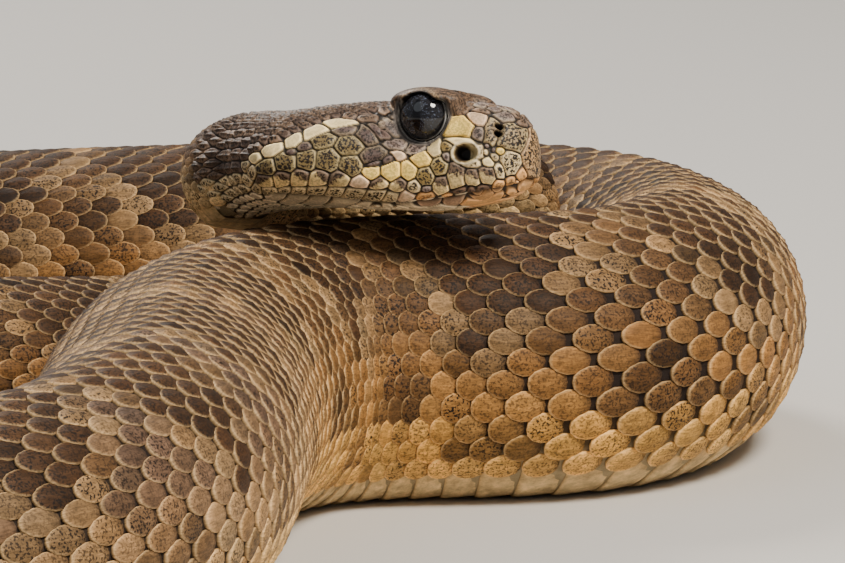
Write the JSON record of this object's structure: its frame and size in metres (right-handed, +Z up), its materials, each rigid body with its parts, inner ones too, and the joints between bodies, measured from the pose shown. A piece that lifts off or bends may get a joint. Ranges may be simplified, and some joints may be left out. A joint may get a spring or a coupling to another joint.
{
  "type": "western diamondback rattlesnake, still life-size model",
  "caption": "Life-size rattlesnake lying coiled on a floor, its head laid across its own body, scaled skin, heat pits, and a tail with rings and a rattle.",
  "frame": {"origin": "middle of the animal's box in plan, on the floor it lies on", "axes": "+Z up, away from the floor; +Y away from the viewer of the picture, along the coil's longest side; +X to that viewer's right, the way the head faces"},
  "size_m": [0.2098, 0.2542, 0.0557],
  "materials": {
    "head_skin": "dry scaled skin, brown and cream, peppered",
    "body_skin": "dry keeled scales, brown with dark blotches edged in cream",
    "tail_skin": "dry scales in black and pale grey rings",
    "rattle_horn": "dull horn",
    "eye": "glossy, almost black"
  },
  "bodies": {
    "root": {"head": "head_skin", "eye_left": "eye", "eye_right": "eye", "neck": "body_skin", "nape_fold": "body_skin", "throat_fold": "body_skin", "fore_body": "body_skin", "left_turn": "body_skin", "far_body": "body_skin", "far_flank": "body_skin", "right_turn": "body_skin", "near_body": "body_skin", "near_flank": "body_skin", "hind_body": "body_skin", "hind_flank": "body_skin", "tail": "tail_skin", "rattle": "rattle_horn"}
  },
  "joints": []
}
